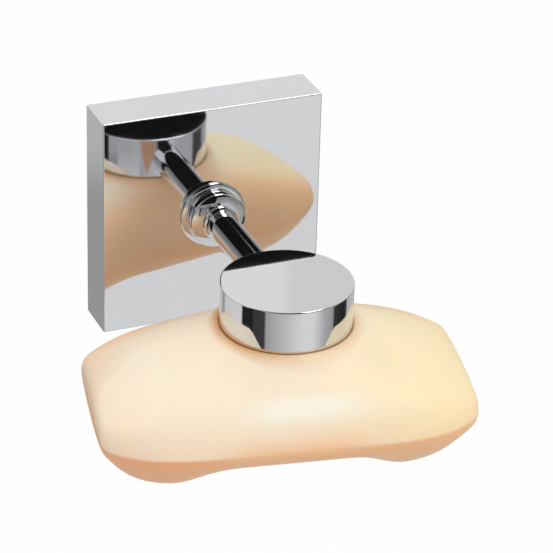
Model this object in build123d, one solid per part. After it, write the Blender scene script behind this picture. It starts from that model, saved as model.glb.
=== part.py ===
from build123d import *
from math import asin, cos, hypot, pi, radians, sin, sqrt, tan
import os

# Magnetic soap holder, in millimetres. The wall is the plane Y = 0, the arm points to -Y and +Z is up.
# The origin is the centre of the wall bracket's back face.

# Square cover on the wall
cover_side = 55.0
cover_depth = 11.8
cover_front_wall = 2.5
cover_side_wall = 2.0
cover_edge_radius = 0.3
cover_inner_radius = 1.0

# Wall bracket inside the cover
bracket_wall = 2.0
bracket_flange_wall = 3.5
bracket_front_gap = 1.0
bracket_hole_margin = 3.6
bracket_corner_radius = 2.0
bracket_clearance = 0.3
wall_hole_radius = 2.4
wall_hole_spacing = 28.0

# Grub screw that holds the cover on the bracket
grub_radius = 2.0
grub_length = 5.0
grub_recess = 0.2
grub_socket_flats = 2.0
grub_socket_depth = 2.2

# Bolt that holds the arm on the cover
bolt_radius = 2.0
bolt_length = 12.0
bolt_head_radius = 3.5
bolt_head_gap = 2.1
bolt_socket_flats = 3.0
bolt_socket_depth = 2.0
flat_washer_radius = 4.5
flat_washer_thickness = 0.8
spring_washer_radius = 3.6
spring_washer_thickness = 0.9
spring_washer_gap = 0.7
through_hole_clearance = 0.2
thread_clearance = 0.05
blind_hole_spare = 0.4

# Stacked collar where the arm leaves the cover; each ring's face slopes up to the next ring
collar_face_slope = 20.0
flange_step = 1.2
flange_rim = 0.46
flange_edge_radius = 0.2
disc_step = 2.6
disc_rim = 3.0
disc_edge_radius = 0.3
hub_step = 0.7
hub_rim = 0.75
hub_edge_radius = 0.25

# Round arm
arm_radius = 3.65
arm_tapping_spare = 1.0
arm_seat_depth = 1.2
arm_fit_clearance = 0.05

# Round head at the arm's end, with the magnet in its underside
head_from_wall = 58.5
head_rise = 0.2
head_edge_radius = 0.35
head_rim_wall = 2.5
head_roof = 3.7
stud_radius = 2.0
stud_length = 10.0
stud_end_gap = 0.3

# Pot magnet, its screw, and the thin steel face that closes the head
pot_radius = 10.0
pot_height = 6.0
pot_wall = 1.6
pot_clearance = 0.25
magnet_clearance = 0.2
magnet_recess = 0.2
screw_radius = 2.0
screw_end_cover = 1.3
screw_head_radius = 3.5
screw_head_height = 1.8
screw_head_clearance = 0.4
screw_socket_flats = 2.5
screw_socket_depth = 1.0
face_thickness = 0.6
face_recess = 0.3
face_clearance = 0.2
face_margin = 0.3
seal_width = 1.8
seal_height = 1.2
seal_clearance = 0.15

# Steel cap that is pressed into the soap
cap_margin = 0.5
cap_wall = 0.8
cap_tooth_length = 5.0
cap_tooth_count = 12
cap_tooth_root = 1.2
cap_tooth_tip = 0.4
cap_edge_radius = 0.3
cap_clearance = 0.3

# Bar of soap, measured from its mould line
soap_length = 86.2
soap_width = 51.6
soap_end_width = 35.2
soap_end_rise = 4.8
soap_crown_share = 0.376
soap_arch_depth = 12.1
soap_foot_depth = 17.4
soap_arch_start = 12.0
soap_foot_start = 27.3
soap_shift_along = -1.7
soap_shift_across = -1.6
soap_turned = -10.7
soap_tilted_forwards = 1.8
soap_tilted_sideways = -0.5
soap_line_depth = 16.8
soap_end_radius = 1.7
soap_plan_power = 5.4
soap_crown_power = 1.65
soap_foot_power = 8.3
crown_shoulder_share = 0.96
crown_lean = 8.5
belly_shoulder_share = 0.79
belly_lean = 14.0
soap_station_shares = [0.0, 0.18, 0.34, 0.48, 0.6, 0.72, 0.84, 0.93, 1.0]
soap_end_shares = [0.4, 0.75, 0.94, 1.0]

# Seat that the head has sunk into the soap
seat_gap = 0.5
seat_clearance = 0.4
seat_lip_width = 1.3
seat_lip_rise = 0.9
seat_foot_width = 5.4
seat_foot_drop = 9.2

# One overrun for every cut that runs past a face
overrun = 1.0

# Sizes and places that follow from the ones above
cover_inner_face = cover_depth - cover_front_wall
cover_inner_half = cover_side / 2 - cover_side_wall
bracket_width = wall_hole_spacing + 2 * (wall_hole_radius + bracket_hole_margin)
bracket_height = 2 * (cover_inner_half - bracket_clearance)
bracket_flange_depth = cover_inner_face - bracket_front_gap
grub_from_wall = (bracket_wall + bracket_flange_depth) / 2
flat_washer_start = cover_inner_face - flat_washer_thickness
spring_washer_start = flat_washer_start - spring_washer_thickness
bolt_head_start = bracket_wall + bolt_head_gap
bolt_end = spring_washer_start + bolt_length
hub_radius = arm_radius + hub_step
disc_radius = hub_radius + disc_step
flange_radius = disc_radius + flange_step
flange_face_rise = flange_step * tan(radians(collar_face_slope))
disc_face_rise = disc_step * tan(radians(collar_face_slope))
hub_face_rise = hub_step * tan(radians(collar_face_slope))
disc_start = cover_depth + flange_rim + flange_face_rise
hub_start = disc_start + disc_rim + disc_face_rise
pocket_radius = pot_radius + pot_clearance
seal_bore_radius = pocket_radius + seal_clearance
seal_radius = seal_bore_radius + seal_width
face_radius = seal_radius + face_margin
head_radius = face_radius + face_clearance + head_rim_wall
head_height = face_recess + face_thickness + pot_height + head_roof
head_top = head_rise + head_height / 2
head_bottom = head_rise - head_height / 2
arm_end = head_from_wall - head_radius + arm_seat_depth
face_bottom = head_bottom + face_recess
face_top = face_bottom + face_thickness
seal_top = face_top + seal_height
pot_top = face_top + pot_height
pot_floor = pot_top - pot_wall
magnet_radius = pot_radius - pot_wall - magnet_clearance
magnet_bore_radius = screw_head_radius + screw_head_clearance
screw_end = head_top - screw_end_cover
stud_end = head_from_wall - pocket_radius - stud_end_gap
stud_start = stud_end - stud_length
cap_radius = face_radius - cap_margin
cap_top = face_bottom
cap_bottom = cap_top - cap_wall
seat_level = head_bottom - seat_gap
seat_radius = head_radius + seat_clearance
soap_crown = soap_crown_share * soap_width
soap_line = head_bottom - soap_line_depth

UPWARDS = (Align.CENTER, Align.CENTER, Align.MIN)
OUT_OF_WALL = Rot(90, 0, 0)
HEAD_AXIS = Pos(0, -head_from_wall, 0)


def disc(radius, length, start=0.0):
    """A round bar along Z that begins at the height start."""
    return Pos(0, 0, start) * Cylinder(radius, length, align=UPWARDS)


def ring(outer, inner, length, start=0.0):
    """A flat ring along Z that begins at the height start."""
    return disc(outer, length, start) - disc(inner, length + 2 * overrun, start - overrun)


def hex_hole(flats, depth, start=0.0):
    """The cut for a hexagon socket, measured across its flats."""
    outline = RegularPolygon(flats / 2, 6, major_radius=False)
    return Pos(0, 0, start) * extrude(outline, depth)


def round_ends(part, radius, ends=(0, -1)):
    """Rounds the rim at the lowest end, the highest end or both."""
    levels = part.edges().filter_by(GeomType.CIRCLE).group_by(Axis.Z)
    rims = [level.sort_by(SortBy.LENGTH)[-1] for level in (levels[end] for end in ends)]
    return fillet(rims, radius)


# The cover and what holds it

def rose_cover():
    """Square shell, open at the back, with the hole for the arm's bolt and the one for the grub screw."""
    shell = Box(cover_side, cover_side, cover_depth, align=UPWARDS)
    shell = fillet(shell.edges().group_by(Axis.Z)[1:], cover_edge_radius)
    inside = Pos(0, 0, -overrun) * Box(
        2 * cover_inner_half, 2 * cover_inner_half, cover_inner_face + overrun, align=UPWARDS
    )
    inside = fillet(inside.edges().filter_by(Axis.Z), cover_inner_radius)
    shell -= inside
    shell -= disc(bolt_radius + through_hole_clearance, cover_depth + overrun)
    shell -= grub_place(grub_radius + thread_clearance, cover_side_wall + 2 * overrun, overrun)
    return OUT_OF_WALL * shell


def grub_place(radius, length, below=0.0):
    """A bar that goes up through the cover's lower wall, for the grub screw and its holes."""
    foot = Pos(0, -cover_side / 2 - below, grub_from_wall)
    return foot * Rot(-90, 0, 0) * disc(radius, length)


def wall_bracket():
    """Plate with two screw holes and a flange at the top and bottom, which fill the cover's height."""
    plate = Box(bracket_width, bracket_height, bracket_wall, align=UPWARDS)
    plate = fillet(plate.edges().filter_by(Axis.Z), bracket_corner_radius)
    flange = Box(
        bracket_width - 2 * bracket_corner_radius, bracket_flange_wall, bracket_flange_depth, align=UPWARDS
    )
    flange_place = (bracket_height - bracket_flange_wall) / 2
    for side in (-1, 1):
        plate += Pos(0, side * flange_place, 0) * flange
        plate -= Pos(side * wall_hole_spacing / 2, 0, 0) * disc(
            wall_hole_radius, bracket_wall + 2 * overrun, -overrun
        )
    reach = cover_side_wall + bracket_clearance + bracket_flange_wall
    plate -= grub_place(grub_radius + thread_clearance, reach + overrun)
    return OUT_OF_WALL * plate


def cover_grub_screw():
    """Headless screw through the cover's lower wall into the bracket's lower flange."""
    screw = disc(grub_radius, grub_length, grub_recess)
    screw -= hex_hole(grub_socket_flats, grub_socket_depth + overrun, grub_recess - overrun)
    foot = Pos(0, -cover_side / 2, grub_from_wall)
    return OUT_OF_WALL * foot * Rot(-90, 0, 0) * screw


# The bolt from inside the cover

def arm_bolt():
    """Socket-head bolt from inside the cover into the arm."""
    bolt = disc(bolt_radius, bolt_length, spring_washer_start)
    bolt += disc(bolt_head_radius, spring_washer_start - bolt_head_start, bolt_head_start)
    bolt -= hex_hole(bolt_socket_flats, bolt_socket_depth + overrun, bolt_head_start - overrun)
    return OUT_OF_WALL * bolt


def arm_washer():
    """Flat washer against the inside of the cover's front."""
    washer = ring(
        flat_washer_radius, bolt_radius + through_hole_clearance, flat_washer_thickness, flat_washer_start
    )
    return OUT_OF_WALL * washer


def arm_spring_washer():
    """Split washer between the bolt's head and the flat washer."""
    washer = ring(
        spring_washer_radius, bolt_radius + through_hole_clearance,
        spring_washer_thickness, spring_washer_start,
    )
    split = Pos(0, spring_washer_radius / 2, spring_washer_start - overrun) * Box(
        spring_washer_gap, spring_washer_radius, spring_washer_thickness + 2 * overrun, align=UPWARDS
    )
    return OUT_OF_WALL * (washer - split)


# The collar's three rings

def collar_ring(radius, step, rim, face_rise, start, edge_radius):
    """One ring of the collar, with both its outer rims rounded and its face sloping up to the next ring."""
    part = disc(radius, rim, start)
    part += Pos(0, 0, start + rim) * Cone(radius, radius - step, face_rise, align=UPWARDS)
    part = round_ends(part, edge_radius, ends=(0, 1))
    part -= disc(arm_radius + arm_fit_clearance, rim + face_rise + 2 * overrun, start - overrun)
    return OUT_OF_WALL * part


# The arm and the stud in its end

def arm_bar():
    """Round bar from the cover's face into the head, tapped at both ends."""
    bar = disc(arm_radius, arm_end - cover_depth, cover_depth)
    bolt_hole = bolt_end + arm_tapping_spare - cover_depth
    bar -= disc(bolt_radius + thread_clearance, bolt_hole + overrun, cover_depth - overrun)
    stud_hole = stud_start - arm_tapping_spare
    bar -= disc(stud_radius + thread_clearance, arm_end + overrun - stud_hole, stud_hole)
    return OUT_OF_WALL * bar


def head_stud():
    """Threaded stud that joins the arm to the head."""
    return OUT_OF_WALL * disc(stud_radius, stud_length, stud_start)


# The head and what it holds

def head_drum():
    """Round head with a flat seat for the arm, a pocket for the magnet, and steps for the seal and face."""
    drum = round_ends(disc(head_radius, head_height, head_bottom), head_edge_radius)
    below = head_bottom - overrun
    for radius, top in (
        (pocket_radius, pot_top),
        (seal_radius + seal_clearance, seal_top),
        (face_radius + face_clearance, face_top),
        (screw_radius + thread_clearance, screw_end + blind_hole_spare),
    ):
        drum -= disc(radius, top - below, below)
    drum = HEAD_AXIS * drum
    before_head = arm_end - arm_seat_depth - overrun
    drum -= OUT_OF_WALL * disc(arm_radius + arm_fit_clearance, arm_end - before_head, before_head)
    pocket_side = head_from_wall - pocket_radius
    drum -= OUT_OF_WALL * disc(stud_radius + thread_clearance, pocket_side + overrun - arm_end, arm_end)
    return drum


def magnet_pot():
    """Steel cup round the magnet, open downwards."""
    pot = disc(pot_radius, pot_top - face_top, face_top)
    pot -= disc(pot_radius - pot_wall, pot_floor - face_top + overrun, face_top - overrun)
    pot -= disc(screw_radius + through_hole_clearance, pot_wall + 2 * overrun, pot_floor - overrun)
    return HEAD_AXIS * pot


def magnet_ring():
    """Ring magnet in the pot."""
    start = face_top + magnet_recess
    return HEAD_AXIS * ring(magnet_radius, magnet_bore_radius, pot_floor - start, start)


def magnet_screw():
    """Screw up through the pot's floor into the head."""
    screw = disc(screw_radius, screw_end - pot_floor, pot_floor)
    screw += disc(screw_head_radius, screw_head_height, pot_floor - screw_head_height)
    screw -= hex_hole(
        screw_socket_flats, screw_socket_depth + overrun, pot_floor - screw_head_height - overrun
    )
    return HEAD_AXIS * screw


def magnet_seal():
    """Rubber ring round the pot, above the steel face."""
    return HEAD_AXIS * ring(seal_radius, seal_bore_radius, seal_height, face_top)


def magnet_face():
    """Thin steel disc that closes the head's underside and meets the cap."""
    return HEAD_AXIS * disc(face_radius, face_thickness, face_bottom)


# The cap and the soap

def soap_cap():
    """Steel disc with a crown of pointed teeth, which are pressed into the soap."""
    skirt = cap_tooth_length + cap_wall
    cap = round_ends(disc(cap_radius, skirt, cap_top - skirt), cap_edge_radius, ends=(-1,))
    cap -= disc(cap_radius - cap_wall, cap_tooth_length + overrun, cap_bottom - cap_tooth_length - overrun)
    half_notch = pi * cap_radius / cap_tooth_count - cap_tooth_tip / 2
    notch_height = cap_tooth_length - cap_tooth_root
    half_mouth = half_notch * (notch_height + overrun) / notch_height
    tooth_tips = cap_bottom - cap_tooth_length
    notch_outline = Polyline(
        (-half_mouth, tooth_tips - overrun),
        (half_mouth, tooth_tips - overrun),
        (0, tooth_tips + notch_height),
        close=True,
    )
    notch = extrude(Plane.XZ * make_face(notch_outline), -(cap_radius + overrun))
    for turn in range(cap_tooth_count):
        cap -= Rot(0, 0, turn * 360 / cap_tooth_count) * notch
    return HEAD_AXIS * cap


def smooth_step(share):
    """Rises smoothly from 0 to 1 as the share does."""
    held = min(max(share, 0.0), 1.0)
    return held * held * (3 - 2 * held)


def arch_points(half_width, rise, shoulder_share, lean):
    """Half an arch of two tangent arcs: its crown, the arcs' joint, the shoulder's middle and the edge."""
    shoulder = shoulder_share * rise
    centre_y = half_width - shoulder * cos(radians(lean))
    centre_z = -shoulder * sin(radians(lean))
    reach = rise - centre_z
    crown = (centre_y ** 2 + reach ** 2 - shoulder ** 2) / (2 * (reach - shoulder))
    centres_apart = hypot(centre_y, centre_z - rise + crown)
    joint_angle = asin(centre_y / centres_apart)
    joint = (crown * sin(joint_angle), rise - crown + crown * cos(joint_angle))
    middle_angle = (joint_angle + pi / 2 - radians(lean)) / 2
    middle = (centre_y + shoulder * sin(middle_angle), centre_z + shoulder * cos(middle_angle))
    return [(0, rise), joint, middle, (half_width, 0)]


def soap_section(along):
    """Closed section of the soap, square to its length, at a place along it."""
    share = abs(along) / (soap_length / 2)
    end_half = soap_end_width / 2
    half_width = end_half + (soap_width / 2 - end_half) * (1 - share ** soap_plan_power)
    rise = soap_end_rise + (soap_crown - soap_end_rise) * (1 - share ** soap_crown_power)
    towards_foot = smooth_step((abs(along) - soap_arch_start) / (soap_foot_start - soap_arch_start))
    depth = soap_arch_depth + (soap_foot_depth - soap_arch_depth) * towards_foot
    depth = soap_end_rise + (depth - soap_end_rise) * (1 - share ** soap_foot_power)
    into_end = max(0, abs(along) - soap_length / 2 + soap_end_radius)
    drawn_in = soap_end_radius - sqrt(soap_end_radius ** 2 - into_end ** 2)
    edges = []
    for up, height, shoulder_share, lean in (
        (1, rise, crown_shoulder_share, crown_lean),
        (-1, depth, belly_shoulder_share, belly_lean),
    ):
        top, joint, middle, edge = arch_points(
            half_width - drawn_in, height - drawn_in, shoulder_share, lean
        )
        for side in (-1, 1):
            shoulder = [(side * across, up * above) for across, above in (edge, middle, joint)]
            edges.append(ThreePointArc(*shoulder))
        crown = [(-joint[0], up * joint[1]), (top[0], up * top[1]), (joint[0], up * joint[1])]
        edges.append(ThreePointArc(*crown))
    outline = Wire(edges)
    return Plane(origin=(along, 0, 0), x_dir=(0, 1, 0), z_dir=(1, 0, 0)) * Face(outline)


def soap_bar():
    """Bar of soap with an arched underside, the head's sunk seat and a groove for the cap's teeth."""
    rounding_start = soap_length / 2 - soap_end_radius
    stations = [share * rounding_start for share in soap_station_shares]
    stations += [rounding_start + share * soap_end_radius for share in soap_end_shares]
    stations = [-station for station in reversed(stations[1:])] + stations
    bar = loft([soap_section(station) for station in stations])
    bar = Rot(0, soap_tilted_sideways, 0) * Rot(soap_tilted_forwards, 0, 0) * bar
    bar = Rot(0, 0, soap_turned) * Pos(soap_shift_along, soap_shift_across, soap_line) * bar
    lip_level = seat_level + seat_lip_rise
    bar += Pos(0, 0, lip_level - seat_foot_drop) * Cone(
        seat_radius + seat_foot_width, seat_radius + seat_lip_width, seat_foot_drop, align=UPWARDS
    )
    bar -= disc(seat_radius, soap_crown, seat_level)
    pocket_floor = cap_bottom - cap_clearance
    bar -= disc(cap_radius + cap_clearance, soap_crown, pocket_floor)
    groove_floor = cap_bottom - cap_tooth_length - cap_clearance
    groove_depth = pocket_floor - groove_floor + overrun
    groove_inner = cap_radius - cap_wall - cap_clearance
    bar -= ring(cap_radius + cap_clearance, groove_inner, groove_depth, groove_floor)
    return HEAD_AXIS * bar


PARTS = {
    "rose_cover": rose_cover(),
    "wall_bracket": wall_bracket(),
    "cover_grub_screw": cover_grub_screw(),
    "arm_bolt": arm_bolt(),
    "arm_washer": arm_washer(),
    "arm_spring_washer": arm_spring_washer(),
    "collar_flange": collar_ring(
        flange_radius, flange_step, flange_rim, flange_face_rise, cover_depth, flange_edge_radius
    ),
    "collar_disc": collar_ring(
        disc_radius, disc_step, disc_rim, disc_face_rise, disc_start, disc_edge_radius
    ),
    "collar_hub": collar_ring(hub_radius, hub_step, hub_rim, hub_face_rise, hub_start, hub_edge_radius),
    "arm_bar": arm_bar(),
    "head_stud": head_stud(),
    "head_drum": head_drum(),
    "magnet_pot": magnet_pot(),
    "magnet_ring": magnet_ring(),
    "magnet_screw": magnet_screw(),
    "magnet_seal": magnet_seal(),
    "magnet_face": magnet_face(),
    "soap_cap": soap_cap(),
    "soap_bar": soap_bar(),
}

os.makedirs("parts", exist_ok=True)
for name, part in PARTS.items():
    export_step(part, os.path.join("parts", name + ".step"))
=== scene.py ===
from math import exp, radians, tan, tau

import bmesh
import bpy
from mathutils import Matrix, Vector


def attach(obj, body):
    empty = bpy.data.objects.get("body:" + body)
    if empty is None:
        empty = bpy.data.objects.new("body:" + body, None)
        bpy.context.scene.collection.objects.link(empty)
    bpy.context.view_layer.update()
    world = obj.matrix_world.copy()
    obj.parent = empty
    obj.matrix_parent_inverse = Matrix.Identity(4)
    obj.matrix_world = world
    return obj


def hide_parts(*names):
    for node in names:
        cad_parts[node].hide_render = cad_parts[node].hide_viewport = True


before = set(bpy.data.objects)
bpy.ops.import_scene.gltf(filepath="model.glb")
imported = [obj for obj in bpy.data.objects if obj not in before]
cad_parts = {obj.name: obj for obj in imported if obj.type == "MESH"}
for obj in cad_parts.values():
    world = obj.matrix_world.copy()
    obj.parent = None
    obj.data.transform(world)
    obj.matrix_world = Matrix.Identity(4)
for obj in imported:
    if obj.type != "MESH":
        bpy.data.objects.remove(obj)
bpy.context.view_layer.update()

# Magnetic soap holder, finished over its CAD pieces, with its floor, light and camera.
# Lengths are in metres. The wall is the plane Y = 0, the arm points to -Y and +Z is up.
MM = 0.001
UP = Vector((0, 0, 1))
OUT_OF_WALL = Vector((0, -1, 0))
WALL_ORIGIN = Vector((0, 0, 0))

# Cover and collar
COVER_DEPTH = 11.8 * MM
FLANGE_RADIUS = 8.15 * MM
FLANGE_RIM = 0.46 * MM
FLANGE_ROUNDING = 0.2 * MM
DISC_RADIUS = 6.95 * MM
DISC_RIM = 3.0 * MM
DISC_ROUNDING = 0.3 * MM
HUB_RADIUS = 4.35 * MM
HUB_RIM = 0.75 * MM
HUB_ROUNDING = 0.25 * MM
COLLAR_FRONT_RADIUS = 3.65 * MM
COLLAR_BORE = 3.7 * MM
COLLAR_FACE_SLOPE = radians(20)

# Arm
ARM_RADIUS = 3.65 * MM
ARM_END = 44.5 * MM
TAPPED_RADIUS = 2.05 * MM
BOLT_HOLE_END = 20.6 * MM
STUD_HOLE_START = 36.95 * MM

# Head, with the steps of its underside from the rim inwards
HEAD_CENTRE = Vector((0, -58.5 * MM, 0))
HEAD_RADIUS = 15.2 * MM
HEAD_TOP = 5.5 * MM
HEAD_BOTTOM = -5.1 * MM
HEAD_ROUNDING = 0.35 * MM
FACE_BORE = 12.7 * MM
FACE_TOP = -4.2 * MM
SEAL_BORE = 12.35 * MM
SEAL_TOP = -3.0 * MM
POT_BORE = 10.25 * MM
POT_TOP = 1.8 * MM
SCREW_HOLE_END = 4.6 * MM

# Fineness of the meshes
SPIN_STEPS = 240
ROUNDING_STEPS = 5
ROUND_PROFILE = 0.5
MERGE_DISTANCE = 0.001 * MM
RIM_TOLERANCE = 5 * MERGE_DISTANCE
SHARP_ANGLE = radians(38)
FLAT_ANGLE = radians(0.2)

# Soap. Its own directions, along and across, are X and Y turned a little and shifted from the head's axis.
# The turn is given by its cosine and sine.
SOAP_VOXEL = 0.45 * MM
SOAP_SMOOTHING = 0.5
SOAP_SMOOTHING_ROUNDS = 2
SOAP_LINE = -21.9 * MM
SOAP_TURN = (0.983, 0.186)
SOAP_SHIFT = (1.7 * MM, 1.6 * MM)
SOAP_TILT = (0.009, 0.031)

# Facet of the soap's left end, beyond a crease. Past its start the crease bends towards the front, by the
# square of the distance times its curve, which is in 1/m.
CREASE_ACROSS = 6.3 * MM
CREASE_START = -24 * MM
CREASE_EASE = 1 * MM
CREASE_CURVE = 33
CREASE_FADE = 15 * MM
FACET_DEPTH = 0.36 * MM
FACET_REACH = 6.0 * MM

# Lip of the soap round the head
LIP_FLOOR = -9.0 * MM
LIP_RADIUS = 15.25 * MM
SEAT_RADIUS = 15.6 * MM
LIP_WIDTH = 1.4 * MM
BLEND_START = 16.4 * MM
BLEND_END = 24.0 * MM
LIP_ROUNDS = 150

# Floor far below, as under a holder on its wall
FLOOR_LEVEL = -1.2
FLOOR_HALF = 7.0
FLOOR_WHITE_SHARE = 0.98

# Levels of the soft light all round: straight onto the object, and by way of the chrome
SOFT_LEVEL = 0.66
THROWN_BACK_LEVEL = 1.1

# Soft lamps: name, place, width and power in watts
LAMPS = [
    ("key_lamp", Vector((-0.10, -0.80, 0.90)), 0.7, 4.1),
    ("fill_lamp", Vector((0.8, -0.5, 0.5)), 0.8, 2.2),
    ("back_lamp", Vector((-0.25, 0.7, 0.7)), 0.5, 2.0),
    ("left_lamp", Vector((-0.9, -0.2, 0.3)), 0.5, 0.6),
    ("low_lamp", Vector((0.3, -0.9, -0.5)), 0.6, 0.9),
]

# Camera at the photograph's angle
CAMERA_PLACE = Vector((-224.10, -583.95, 312.10)) * MM
CAMERA_TARGET = Vector((16.966, -12.0, -19.964)) * MM
CAMERA_ROLL = radians(1.62)
CAMERA_LENS = 187.82


# Shader nodes

class Value:
    """A number that varies over a surface. Arithmetic on it adds Math nodes."""

    def __init__(self, graph, socket):
        self.graph = graph
        self.socket = socket

    def apply(self, operation, *numbers):
        return self.graph.node("Math", {"operation": operation}, dict(enumerate(numbers)), 0)

    def __add__(self, other):
        return self.apply("ADD", self, other)

    def __radd__(self, other):
        return self.apply("ADD", other, self)

    def __sub__(self, other):
        return self.apply("SUBTRACT", self, other)

    def __rsub__(self, other):
        return self.apply("SUBTRACT", other, self)

    def __mul__(self, other):
        return self.apply("MULTIPLY", self, other)

    def __rmul__(self, other):
        return self.apply("MULTIPLY", other, self)

    def __truediv__(self, other):
        return self.apply("DIVIDE", self, other)

    def __rtruediv__(self, other):
        return self.apply("DIVIDE", other, self)

    def __neg__(self):
        return self.apply("MULTIPLY", self, -1.0)

    def __pow__(self, power):
        return self.apply("POWER", self, power)


class Graph:
    """The nodes of one material or of the world."""

    def __init__(self, owner):
        owner.use_nodes = True
        self.tree = owner.node_tree
        self.tree.nodes.clear()

    def node(self, kind, settings, inputs, *outputs):
        """Adds a node, sets it up, fills or links its sockets, and gives the outputs asked for."""
        made = self.tree.nodes.new("ShaderNode" + kind)
        for name, setting in settings.items():
            if name == "stops":
                fill_ramp(made.color_ramp, setting)
            else:
                setattr(made, name, setting)
        for name, value in inputs.items():
            if isinstance(value, Value):
                self.tree.links.new(value.socket, made.inputs[name])
            else:
                made.inputs[name].default_value = value
        found = [Value(self, made.outputs[name]) for name in outputs]
        return found[0] if len(found) == 1 else found

    def place(self):
        """The place on the object, in metres."""
        return self.node("TexCoord", {}, {}, "Object")

    def noise(self, scale, detail=3.0, roughness=0.5):
        inputs = {"Vector": self.place(), "Scale": scale, "Detail": detail, "Roughness": roughness}
        return self.node("TexNoise", {}, inputs, "Fac")

    def step(self, value, start, end):
        """Rises smoothly from 0 to 1 as the value goes from start to end."""
        inputs = {"Value": value, "From Min": start, "From Max": end}
        return self.node("MapRange", {"interpolation_type": "SMOOTHSTEP"}, inputs, "Result")

    def band(self, value, rise, fall):
        """Rises from 0 to 1 over the first pair of values and falls back to 0 over the second."""
        return self.step(value, *rise) * (1 - self.step(value, *fall))

    def mix(self, share, first, second):
        """A colour between two colours."""
        return self.node("Mix", {"data_type": "RGBA"}, {0: share, 6: first, 7: second}, 2)

    def bump(self, height, strength, distance):
        inputs = {"Strength": strength, "Distance": distance, "Height": height}
        return self.node("Bump", {}, inputs, "Normal")

    def surface(self, **sockets):
        """The main shader and the output."""
        named = {name.replace("_", " "): value for name, value in sockets.items()}
        shader = self.node("BsdfPrincipled", {}, named, "BSDF")
        self.node("OutputMaterial", {}, {"Surface": shader})


def fill_ramp(ramp, stops):
    """Puts the stops, as place and grey level, on a colour ramp."""
    while len(ramp.elements) < len(stops):
        ramp.elements.new(1.0)
    for element, (place, level) in zip(ramp.elements, stops):
        element.position = place
        element.color = (level, level, level, 1)


def rgb(red, green, blue):
    return (red, green, blue, 1.0)


WHITE = rgb(1, 1, 1)
PALE_GREY = rgb(0.86, 0.86, 0.86)


def between(share, first, second):
    """The value that is a share of the way from the first to the second."""
    return first * (1 - share) + second * share


def length(*parts):
    """Length of a vector from its parts."""
    return sum(part * part for part in parts) ** 0.5


# Materials

def chrome():
    """Mirror chrome with the faintest polishing haze."""
    made = bpy.data.materials.new("chrome")
    graph = Graph(made)
    haze = graph.noise(scale=90.0, detail=4.0)
    ripple = graph.noise(scale=45.0, detail=1.0)
    graph.surface(
        Base_Color=graph.mix(haze, rgb(0.79, 0.80, 0.82), rgb(0.82, 0.825, 0.84)),
        Metallic=1.0,
        Roughness=0.025 + 0.03 * haze,
        Normal=graph.bump(ripple, strength=0.03, distance=0.2 * MM),
    )
    return made


def zinc_steel():
    """Zinc-plated steel with a soft cloudy grain."""
    made = bpy.data.materials.new("zinc_steel")
    graph = Graph(made)
    cloud = graph.noise(scale=260.0, detail=5.0, roughness=0.6)
    grain = graph.noise(scale=2600.0, detail=2.0)
    graph.surface(
        Base_Color=graph.mix(cloud, rgb(0.54, 0.55, 0.57), rgb(0.68, 0.69, 0.70)),
        Metallic=1.0,
        Roughness=0.24 + 0.2 * cloud,
        Normal=graph.bump(grain, strength=0.12, distance=0.05 * MM),
    )
    return made


def dull_magnet():
    """Dull nickel plate over a sintered magnet."""
    made = bpy.data.materials.new("dull_magnet")
    graph = Graph(made)
    cloud = graph.noise(scale=400.0, detail=5.0, roughness=0.65)
    grain = graph.noise(scale=3200.0, detail=3.0)
    graph.surface(
        Base_Color=graph.mix(cloud, rgb(0.26, 0.26, 0.28), rgb(0.42, 0.42, 0.44)),
        Metallic=0.85,
        Roughness=0.4 + 0.2 * cloud,
        Normal=graph.bump(grain, strength=0.25, distance=0.05 * MM),
    )
    return made


def black_rubber():
    """Smooth black rubber with a powdery bloom."""
    made = bpy.data.materials.new("black_rubber")
    graph = Graph(made)
    bloom = graph.noise(scale=500.0, detail=4.0)
    grain = graph.noise(scale=5000.0, detail=2.0)
    graph.surface(
        Base_Color=graph.mix(bloom, rgb(0.035, 0.035, 0.035), rgb(0.075, 0.073, 0.07)),
        Roughness=0.55 + 0.2 * bloom,
        Normal=graph.bump(grain, strength=0.2, distance=0.04 * MM),
    )
    return made


def soap_axes(x, y):
    """Places along and across the turned soap, for numbers or for values."""
    y = y - HEAD_CENTRE.y
    along = SOAP_TURN[0] * x - SOAP_TURN[1] * y + SOAP_SHIFT[0]
    across = SOAP_TURN[1] * x + SOAP_TURN[0] * y + SOAP_SHIFT[1]
    return along, across


def soap_line(along, across):
    """Level of the soap's slightly tilted mould line."""
    return SOAP_LINE + SOAP_TILT[0] * along + SOAP_TILT[1] * across


# Where the soap's colour changes, both its own tints and its painted shade and sheen: each pair is where a
# change starts and where it ends.
# From left to right
DEEP_PEACH_END = (-38 * MM, -15 * MM)
LEFT_OF_HEAD = (-14 * MM, 0.0)
YELLOW_END = (-10 * MM, 40 * MM)
# Beyond the crease, and towards the soap's left end: the painted shade of the facet
FACET_SHADE_EDGE = (0.0, 0.6 * MM)
FACET_SHADE_SPREAD = (-2 * MM, 10 * MM)
FACET_SHADE_END = (16 * MM, 38 * MM)
# Across the soap and along it: the painted sheen on the front brow, and the painted shade towards the wall
SHEEN_FRONT = (-24.8 * MM, -22.8 * MM)
SHEEN_BACK = (-22 * MM, -19 * MM)
SHEEN_LEFT = (-18 * MM, -3 * MM)
SHEEN_RIGHT = (5 * MM, 22 * MM)
WALL_SIDE_SHADE = (10.5 * MM, 20 * MM)
# From the soap's middle towards both its ends
MIDDLE_END = (8 * MM, 22 * MM)
# Above the mould line: the peach under it, partly the soap's own colour and partly painted shade, and the
# painted shade low on the sides
CRISP_LINE = (-0.9 * MM, 0.2 * MM)
SOFT_LINE = (-2.5 * MM, 4.5 * MM)
LOW_SIDE_SHADE = (0.0, 9 * MM)
# From the head's axis: the painted contact shade round the head
SHADE_RING = (15.4 * MM, 18.4 * MM)

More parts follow.
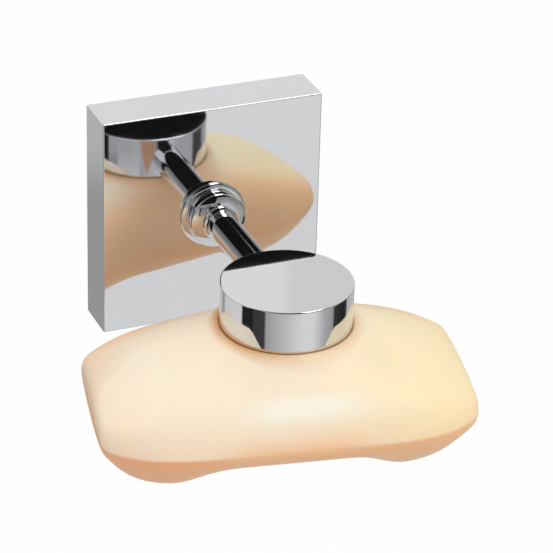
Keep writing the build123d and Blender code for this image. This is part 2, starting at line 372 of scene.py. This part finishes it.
# How far each of these changes goes
YELLOW_SHARE = 0.85
FACET_SHADE_EDGE_SHARE = 0.18
FACET_SHADE_SPREAD_SHARE = 0.5
BROW_SHEEN_SHARE = 0.65
LOW_SIDE_SHADE_SHARE = 0.2
WALL_SIDE_SHADE_SHARE = 0.66
SHADE_SHARE = 0.45
LEFT_SHADE_SHARE = 0.5

# Shares of the finer grain in the soap's two tints and in its bumps, and the spread between the tints
MOTTLE_SHARE = 0.3
SKIN_SHARE = 0.35
TINT_SPREAD = (0.3, 0.7)


def crown_colour(graph, mottle, x, along, across):
    """Cream of the soap's crown: yellower to the right, with painted shade that makes the facet duller and a
    painted sheen that makes the front brow paler.
    """
    cloud = graph.noise(scale=38.0)
    tint = graph.step(between(MOTTLE_SHARE, cloud, mottle), *TINT_SPREAD)
    cream = graph.mix(tint, rgb(0.91, 0.77, 0.59), rgb(0.93, 0.80, 0.63))
    cream = graph.mix(YELLOW_SHARE * graph.step(x, *YELLOW_END), cream, rgb(0.93, 0.77, 0.46))
    past_start = CREASE_START - along
    past_start = past_start * graph.step(past_start, 0.0, CREASE_EASE)
    beyond = across - CREASE_ACROSS + CREASE_CURVE * past_start * past_start
    # Painted shade beyond the crease, deeper towards the left end
    facet = FACET_SHADE_EDGE_SHARE * graph.step(beyond, *FACET_SHADE_EDGE)
    facet = (facet + FACET_SHADE_SPREAD_SHARE * graph.step(beyond, *FACET_SHADE_SPREAD)) * graph.step(-along, *FACET_SHADE_END)
    cream = graph.mix(facet, cream, rgb(0.80, 0.62, 0.46))
    # Painted sheen on the front brow
    brow = graph.band(across, SHEEN_FRONT, SHEEN_BACK) * graph.band(along, SHEEN_LEFT, SHEEN_RIGHT)
    return graph.mix(BROW_SHEEN_SHARE * brow, cream, rgb(0.96, 0.92, 0.83))


def cream_share(graph, along, across, z):
    """Share of the crown's cream: none under the mould line, where its peach is partly the soap's own colour
    and partly painted shade, and less where painted shade lies low on the sides and towards the wall.

    The change at the mould line is crisp at the soap's ends and soft in its middle.
    """
    above_line = z - soap_line(along, across)
    # Peach under the mould line: partly the soap's own colour, partly painted shade
    middle = 1 - graph.step(length(along), *MIDDLE_END)
    crisp = 1 - graph.step(above_line, *CRISP_LINE)
    soft = 1 - graph.step(above_line, *SOFT_LINE)
    under = between(middle, crisp, soft)
    # Painted shade low on the sides
    sides = LOW_SIDE_SHADE_SHARE * (1 - graph.step(above_line, *LOW_SIDE_SHADE))
    # Painted shade towards the wall
    back = WALL_SIDE_SHADE_SHARE * graph.step(across, *WALL_SIDE_SHADE)
    return (1 - under) * (1 - sides) * (1 - back)


def painted_head_shade(graph, x, y):
    """Painted warm contact shade on the soap round the head, deeper on the left."""
    from_axis = length(x, y - HEAD_CENTRE.y)
    left = 1 - graph.step(x, *LEFT_OF_HEAD)
    return (SHADE_SHARE + LEFT_SHADE_SHARE * left) * (1 - graph.step(from_axis, *SHADE_RING))


def waxy_soap():
    """Waxy cream soap that lets light in under its skin. It is more peach underneath, partly its own colour
    and partly painted shade, and more peach towards the wall by painted shade; its colour also holds painted
    contact shade round the head and a painted sheen on the brow.
    """
    made = bpy.data.materials.new("waxy_soap")
    graph = Graph(made)
    x, y, z = graph.node("SeparateXYZ", {}, {"Vector": graph.place()}, "X", "Y", "Z")
    along, across = soap_axes(x, y)
    mottle = graph.noise(scale=420.0, detail=4.0, roughness=0.6)
    skin = graph.noise(scale=1500.0)
    cream = crown_colour(graph, mottle, x, along, across)
    # Peach for the underside and for the painted shade: partly the soap's own colour, partly painted shade
    peach = graph.mix(graph.step(x, *DEEP_PEACH_END), rgb(0.90, 0.46, 0.235), rgb(0.94, 0.53, 0.275))
    colour = graph.mix(cream_share(graph, along, across, z), peach, cream)
    graph.surface(
        # Painted contact shade round the head
        Base_Color=graph.mix(painted_head_shade(graph, x, y), colour, rgb(0.64, 0.31, 0.11)),
        Roughness=0.36 + 0.12 * mottle,
        IOR=1.46,
        Subsurface_Weight=0.6,
        Subsurface_Radius=(1.0, 0.45, 0.2),
        Subsurface_Scale=1.8 * MM,
        Normal=graph.bump(between(SKIN_SHARE, mottle, skin), strength=0.2, distance=0.12 * MM),
    )
    return made


# Meshes

def finish_mesh(bm, node, body, material):
    """Makes the mesh a piece that stands for a CAD node and rides on its body."""
    mesh = bpy.data.meshes.new(node + "_finish")
    bm.to_mesh(mesh)
    bm.free()
    mesh.shade_smooth()
    mesh.set_sharp_from_angle(angle=SHARP_ANGLE)
    mesh.materials.append(material)
    piece = bpy.data.objects.new(node + "_finish", mesh)
    bpy.context.scene.collection.objects.link(piece)
    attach(piece, body)
    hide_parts(node)
    return piece


def even_normals(piece):
    """Keeps flat faces flat in the mirror next to their rounded edges."""
    evened = piece.modifiers.new("even_normals", "WEIGHTED_NORMAL")
    evened.keep_sharp = True
    evened.mode = "FACE_AREA"


def merged_copy(node):
    """A CAD node's mesh with its loose triangles joined."""
    bm = bmesh.new()
    bm.from_mesh(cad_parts[node].data)
    bmesh.ops.remove_doubles(bm, verts=bm.verts[:], dist=MERGE_DISTANCE)
    return bm


def smooth_node(node, body, material):
    """A CAD node with each flat face whole, so that it mirrors flat, and its round faces smooth."""
    bm = merged_copy(node)
    bmesh.ops.dissolve_limit(bm, angle_limit=FLAT_ANGLE, verts=bm.verts[:], edges=bm.edges[:])
    even_normals(finish_mesh(bm, node, body, material))


def spun_mesh(profile, centre, axis, closed=False, rims=(), rounding=0.0):
    """Spins a profile about an axis and rounds the rims. Both are given as pairs of radius and height."""
    across = Vector((1, 0, 0))
    bm = bmesh.new()
    corners = [bm.verts.new(centre + across * radius + axis * height) for radius, height in profile]
    pairs = list(zip(corners, corners[1:]))
    if closed:
        pairs.append((corners[-1], corners[0]))
    edges = [bm.edges.new(pair) for pair in pairs]
    bmesh.ops.spin(
        bm, geom=corners + edges, cent=centre, axis=axis, angle=tau, steps=SPIN_STEPS, use_merge=True
    )
    bmesh.ops.remove_doubles(bm, verts=bm.verts[:], dist=MERGE_DISTANCE)
    bmesh.ops.recalc_face_normals(bm, faces=bm.faces[:])
    if rims:
        rounded = [edge for edge in bm.edges if on_rim(edge, centre, axis, rims)]
        bmesh.ops.bevel(
            bm, geom=rounded, offset=rounding, offset_type="OFFSET", segments=ROUNDING_STEPS,
            profile=ROUND_PROFILE, affect="EDGES", material=-1,
        )
    return bm


def on_rim(edge, centre, axis, rims):
    """Whether both ends of an edge lie on one of the rims."""
    def lies_on(corner, rim):
        from_centre = corner.co - centre
        height = from_centre.dot(axis)
        radius = (from_centre - axis * height).length
        return abs(radius - rim[0]) < RIM_TOLERANCE and abs(height - rim[1]) < RIM_TOLERANCE
    return any(all(lies_on(corner, rim) for corner in edge.verts) for rim in rims)


def collar_ring(node, radius, next_radius, start, rim, rounding, material):
    """One ring of the collar, its front sloping up to the next ring. Gives the height at which it ends."""
    shoulder = start + rim
    face_radius = max(next_radius, COLLAR_BORE)
    end = shoulder + (radius - face_radius) * tan(COLLAR_FACE_SLOPE)
    profile = [(COLLAR_BORE, start), (radius, start), (radius, shoulder), (face_radius, end)]
    if face_radius > COLLAR_BORE:
        profile.append((COLLAR_BORE, end))
    bm = spun_mesh(
        profile, WALL_ORIGIN, OUT_OF_WALL, closed=True,
        rims=[(radius, start), (radius, shoulder)], rounding=rounding,
    )
    even_normals(finish_mesh(bm, node, "holder", material))
    return end


def collar(material):
    """Flange, disc and hub, one on the other."""
    disc_start = collar_ring(
        "collar_flange", FLANGE_RADIUS, DISC_RADIUS, COVER_DEPTH, FLANGE_RIM, FLANGE_ROUNDING, material
    )
    hub_start = collar_ring(
        "collar_disc", DISC_RADIUS, HUB_RADIUS, disc_start, DISC_RIM, DISC_ROUNDING, material
    )
    collar_ring("collar_hub", HUB_RADIUS, COLLAR_FRONT_RADIUS, hub_start, HUB_RIM, HUB_ROUNDING, material)


def arm(material):
    """Round arm, with the tapped holes for the bolt and the stud in its ends."""
    profile = [
        (0, BOLT_HOLE_END), (TAPPED_RADIUS, BOLT_HOLE_END), (TAPPED_RADIUS, COVER_DEPTH),
        (ARM_RADIUS, COVER_DEPTH), (ARM_RADIUS, ARM_END), (TAPPED_RADIUS, ARM_END),
        (TAPPED_RADIUS, STUD_HOLE_START), (0, STUD_HOLE_START),
    ]
    bm = spun_mesh(profile, WALL_ORIGIN, OUT_OF_WALL)
    even_normals(finish_mesh(bm, "arm_bar", "holder", material))


def head(material):
    """Round head, with the stepped pocket of its underside."""
    profile = [
        (0, HEAD_TOP), (HEAD_RADIUS, HEAD_TOP), (HEAD_RADIUS, HEAD_BOTTOM), (FACE_BORE, HEAD_BOTTOM),
        (FACE_BORE, FACE_TOP), (SEAL_BORE, FACE_TOP), (SEAL_BORE, SEAL_TOP), (POT_BORE, SEAL_TOP),
        (POT_BORE, POT_TOP), (TAPPED_RADIUS, POT_TOP), (TAPPED_RADIUS, SCREW_HOLE_END), (0, SCREW_HOLE_END),
    ]
    bm = spun_mesh(
        profile, HEAD_CENTRE, UP,
        rims=[(HEAD_RADIUS, HEAD_TOP), (HEAD_RADIUS, HEAD_BOTTOM)], rounding=HEAD_ROUNDING,
    )
    even_normals(finish_mesh(bm, "head_drum", "holder", material))


def press_facet(bm):
    """Flattens the back corner of the soap's left end beyond a curved crease."""
    for corner in bm.verts:
        along, across = soap_axes(corner.co.x, corner.co.y)
        if corner.co.z < soap_line(along, across):
            continue
        past_start = max(0, CREASE_START - along)
        beyond = max(0, across - CREASE_ACROSS + CREASE_CURVE * past_start * past_start)
        fade = min(1, max(0, CREASE_START + CREASE_FADE - along) / CREASE_FADE)
        corner.co.z -= FACET_DEPTH * fade * (1 - exp(-beyond / FACET_REACH))


def close_lip(bm):
    """Draws the soap's lip in to the head, and blends it into the crown."""
    blend = []
    for corner in bm.verts:
        outwards = (corner.co - HEAD_CENTRE).xy
        radius = outwards.length
        if corner.co.z < LIP_FLOOR or radius < HEAD_RADIUS:
            continue
        if radius < SEAT_RADIUS + LIP_WIDTH:
            share = (radius - SEAT_RADIUS) / LIP_WIDTH
            drawn = LIP_RADIUS + max(0, share) * (SEAT_RADIUS + LIP_WIDTH - LIP_RADIUS)
            corner.co.xy = HEAD_CENTRE.xy + outwards * drawn / radius
        if BLEND_START < radius < BLEND_END:
            blend.append(corner)
    for _ in range(LIP_ROUNDS):
        bmesh.ops.smooth_vert(bm, verts=blend, factor=SOAP_SMOOTHING, use_axis_z=True)


def soap(material):
    """Bar of soap, its edges softened all over as soap's are."""
    bm = merged_copy("soap_bar")
    mesh = bpy.data.meshes.new("soap_blank")
    bm.to_mesh(mesh)
    bm.free()
    blank = bpy.data.objects.new("soap_blank", mesh)
    bpy.context.scene.collection.objects.link(blank)
    remesh = blank.modifiers.new("remesh", "REMESH")
    remesh.mode = "VOXEL"
    remesh.voxel_size = SOAP_VOXEL
    graph = bpy.context.evaluated_depsgraph_get()
    softened = bmesh.new()
    softened.from_object(blank, graph)
    bpy.data.objects.remove(blank)
    for _ in range(SOAP_SMOOTHING_ROUNDS):
        bmesh.ops.smooth_vert(
            softened, verts=softened.verts[:], factor=SOAP_SMOOTHING,
            use_axis_x=True, use_axis_y=True, use_axis_z=True,
        )
    press_facet(softened)
    close_lip(softened)
    finish_mesh(softened, "soap_bar", "soap", material)


mirror = chrome()
steel = zinc_steel()
magnet = dull_magnet()
rubber = black_rubber()

smooth_node("rose_cover", "holder", mirror)
collar(mirror)
arm(mirror)
head(mirror)
soap(waxy_soap())

for node in (
    "wall_bracket", "cover_grub_screw", "arm_bolt", "arm_washer", "arm_spring_washer",
    "head_stud", "magnet_pot", "magnet_screw", "magnet_face",
):
    smooth_node(node, "holder", steel)
smooth_node("soap_cap", "cap", steel)
smooth_node("magnet_ring", "holder", magnet)
smooth_node("magnet_seal", "holder", rubber)


# Floor, light and camera

def floor():
    """Plain pale floor, nearly white where the camera sees it."""
    bm = bmesh.new()
    bmesh.ops.create_grid(bm, x_segments=1, y_segments=1, size=FLOOR_HALF)
    bmesh.ops.translate(bm, verts=bm.verts[:], vec=UP * FLOOR_LEVEL)
    mesh = bpy.data.meshes.new("floor")
    bm.to_mesh(mesh)
    bm.free()
    piece = bpy.data.objects.new("floor", mesh)
    bpy.context.scene.collection.objects.link(piece)
    piece.visible_glossy = False
    made = bpy.data.materials.new("pale_floor")
    graph = Graph(made)
    camera_ray, clear_ray = graph.node("LightPath", {}, {}, "Is Camera Ray", "Is Transmission Ray")
    matt = graph.node("BsdfDiffuse", {}, {"Color": PALE_GREY}, "BSDF")
    white = graph.node("Emission", {}, {"Color": WHITE, "Strength": 1.0}, "Emission")
    seen = FLOOR_WHITE_SHARE * (camera_ray + clear_ray)
    shader = graph.node("MixShader", {}, {0: seen, 1: matt, 2: white}, "Shader")
    graph.node("OutputMaterial", {}, {"Surface": shader})
    mesh.materials.append(made)


# Grey panels round the mirrored room: degrees from straight in front towards +X, and level.
# Straight in front is half a turn from where the panels start, behind.
STRAIGHT_AHEAD = 0.5
LOW_PANELS = [
    (-180, 0.34), (-157, 0.34), (-150, 0.66), (-106, 0.72), (-103, 0.02), (-83, 0.015), (-80, 0.045),
    (-60, 0.05), (-57, 0.37), (-26, 0.56), (5, 0.76), (25, 0.76), (45, 0.47), (64, 0.33), (67, 0.04),
    (90, 0.02), (100, 0.05), (104, 0.5), (135, 0.55), (150, 0.34), (180, 0.34),
]
MIDDLE_PANELS = [
    (-180, 0.50), (-150, 0.50), (-128, 0.42), (-86, 0.46), (-83, 0.01), (-62, 0.01), (-59, 0.37),
    (-26, 0.56), (5, 0.78), (30, 0.78), (45, 0.47), (68, 0.33), (71, 0.06), (98, 0.06), (102, 0.42),
    (150, 0.45), (180, 0.50),
]

# Edges in the mirrored room. A direction out of the object has the parts x, y and z of a unit vector, and
# each pair is where along one of them, or along its opposite, an edge starts and where it ends.
PANELS_MEET = (-0.45, -0.43)
PANELS_FADE = (-0.2, 0.4)
FLOOR_EDGE = (0.56, 0.64)
BACK_EDGE = (-0.05, 0.1)
CEILING_EDGE = (0.63, 0.70)
DARK_CEILING_EDGE = (-0.05, 0.1)
BLACK_FRONT_EDGE = (0.64, 0.74)
STREAK_LEFT = (0.17, 0.19)
STREAK_RIGHT = (0.24, 0.26)
STREAK_FRONT = (-0.825, -0.815)
OVERHEAD_BOTTOM = (0.76, 0.80)
OVERHEAD_BACK = (0.0, 0.1)
OVERHEAD_LEFT = (0.14, 0.2)
OVERHEAD_RIGHT = (0.48, 0.56)
WALL_SEAM_SLANT = 0.4265
WALL_SEAM = (-0.003, 0.003)
WALL_SEAM_BOTTOM = (0.43, 0.46)

# Top of the panels. In front it slants down to the right, and it steps up again where x passes its step.
PANEL_TOP_START = 0.07
PANEL_TOP_END = 0.09
PANEL_TOP_SLANT = 0.25
PANEL_TOP_STEP = (0.2, 0.3)

# Levels of grey in the mirrored room
FAINT_PANEL_SHARE = 0.35
MIRRORED_FLOOR_LEVEL = 0.68
FRONT_LEVEL = 0.45
BLACK_LEVEL = 0.008
STREAK_LEVEL = 0.6
WALL_LEVEL = 0.815
WALL_SEAM_DROP = 0.10
CEILING_LEVEL = 0.85
DARK_CEILING_LEVEL = 0.05
OVERHEAD_LEVEL = 4.0


def share_of_turn(angle):
    """Place round the room, as a share of a full turn, for an angle from straight in front."""
    return STRAIGHT_AHEAD + angle / tau


def panel_level(graph, turn, panels):
    """Level of the panels at a place round the room."""
    stops = [(share_of_turn(radians(degrees)), level) for degrees, level in panels]
    return graph.node("ValToRGB", {"stops": stops}, {"Fac": turn}, "Color")


def mirrored_panels(graph, x, y, z):
    """Panels round the mirrored room, fainter towards their top, with the pale floor below them."""
    turn = share_of_turn(graph.node("Math", {"operation": "ARCTAN2"}, {0: x, 1: -y}, 0))
    low = panel_level(graph, turn, LOW_PANELS)
    middle = panel_level(graph, turn, MIDDLE_PANELS)
    panels = between(graph.step(z, *PANELS_MEET), low, middle)
    panels = panels * between(graph.step(-z, *PANELS_FADE), FAINT_PANEL_SHARE, 1.0)
    return between(graph.step(-z, *FLOOR_EDGE), panels, MIRRORED_FLOOR_LEVEL)


def mirrored_heights(graph, x, y, z, back):
    """Wall behind with a seam, black front with a streak, and a ceiling with a lamp, dark in front."""
    streak = graph.band(x, STREAK_LEFT, STREAK_RIGHT) * graph.step(y, *STREAK_FRONT)
    front = between(graph.step(-y, *BLACK_FRONT_EDGE), FRONT_LEVEL, BLACK_LEVEL) + STREAK_LEVEL * streak
    right_of_seam = graph.step(x - WALL_SEAM_SLANT * y, *WALL_SEAM) * graph.step(z, *WALL_SEAM_BOTTOM)
    wall = WALL_LEVEL - WALL_SEAM_DROP * right_of_seam
    ceiling = between(graph.step(-y, *DARK_CEILING_EDGE), CEILING_LEVEL, DARK_CEILING_LEVEL)
    lamp = graph.band(x, OVERHEAD_LEFT, OVERHEAD_RIGHT)
    lamp = lamp * graph.step(-y, *OVERHEAD_BACK) * graph.step(z, *OVERHEAD_BOTTOM)
    walls = between(back, front, wall)
    return between(graph.step(z, *CEILING_EDGE), walls, ceiling) + OVERHEAD_LEVEL * lamp


def mirrored_room(graph, x, y, z):
    """What the chrome mirrors: panels round it, a pale floor, a black front and a ceiling with a lamp."""
    back = graph.step(y, *BACK_EDGE)
    front = 1 - back
    slanted = z + PANEL_TOP_SLANT * (x - graph.step(x, *PANEL_TOP_STEP)) * front
    above = graph.step(slanted, PANEL_TOP_START * front, PANEL_TOP_END)
    return between(above, mirrored_panels(graph, x, y, z), mirrored_heights(graph, x, y, z, back))


def studio():
    """White to the camera, soft light all round for the soap, and a panelled room for the chrome."""
    world = bpy.data.worlds.new("studio")
    bpy.context.scene.world = world
    graph = Graph(world)
    direction = graph.node("TexCoord", {}, {}, "Generated")
    x, y, z = graph.node("SeparateXYZ", {}, {"Vector": direction}, "X", "Y", "Z")
    camera_ray, glossy_ray, clear_ray, scatterings = graph.node(
        "LightPath", {}, {}, "Is Camera Ray", "Is Glossy Ray", "Is Transmission Ray", "Diffuse Depth"
    )
    soft = between(glossy_ray, SOFT_LEVEL, THROWN_BACK_LEVEL)
    mirrored = glossy_ray * (1 - graph.step(scatterings, 0.0, 1.0))
    unseen = between(mirrored, soft, mirrored_room(graph, x, y, z))
    strength = between(camera_ray + clear_ray, unseen, 1.0)
    light = graph.node("Background", {}, {"Color": WHITE, "Strength": strength}, "Background")
    graph.node("OutputWorld", {}, {"Surface": light})


def soft_lamp(name, place, size, power):
    """Square soft lamp, aimed at the object and left out of the mirror."""
    lamp = bpy.data.lights.new(name, "AREA")
    lamp.size = size
    lamp.energy = power
    holder = bpy.data.objects.new(name, lamp)
    holder.location = place
    holder.rotation_mode = "QUATERNION"
    holder.rotation_quaternion = (HEAD_CENTRE - place).to_track_quat("-Z", "Y")
    holder.visible_glossy = False
    bpy.context.scene.collection.objects.link(holder)


def camera():
    """Camera at the photograph's place, angle and lens."""
    optics = bpy.data.cameras.new("camera")
    optics.lens = CAMERA_LENS
    holder = bpy.data.objects.new("camera", optics)
    holder.location = CAMERA_PLACE
    aim = (CAMERA_TARGET - CAMERA_PLACE).to_track_quat("-Z", "Y")
    holder.rotation_mode = "QUATERNION"
    holder.rotation_quaternion = (aim.to_matrix() @ Matrix.Rotation(CAMERA_ROLL, 3, "Z")).to_quaternion()
    bpy.context.scene.collection.objects.link(holder)
    bpy.context.scene.camera = holder


floor()
studio()
for name, place, size, power in LAMPS:
    soft_lamp(name, place, size, power)
camera()
bpy.context.scene.view_settings.view_transform = "Standard"
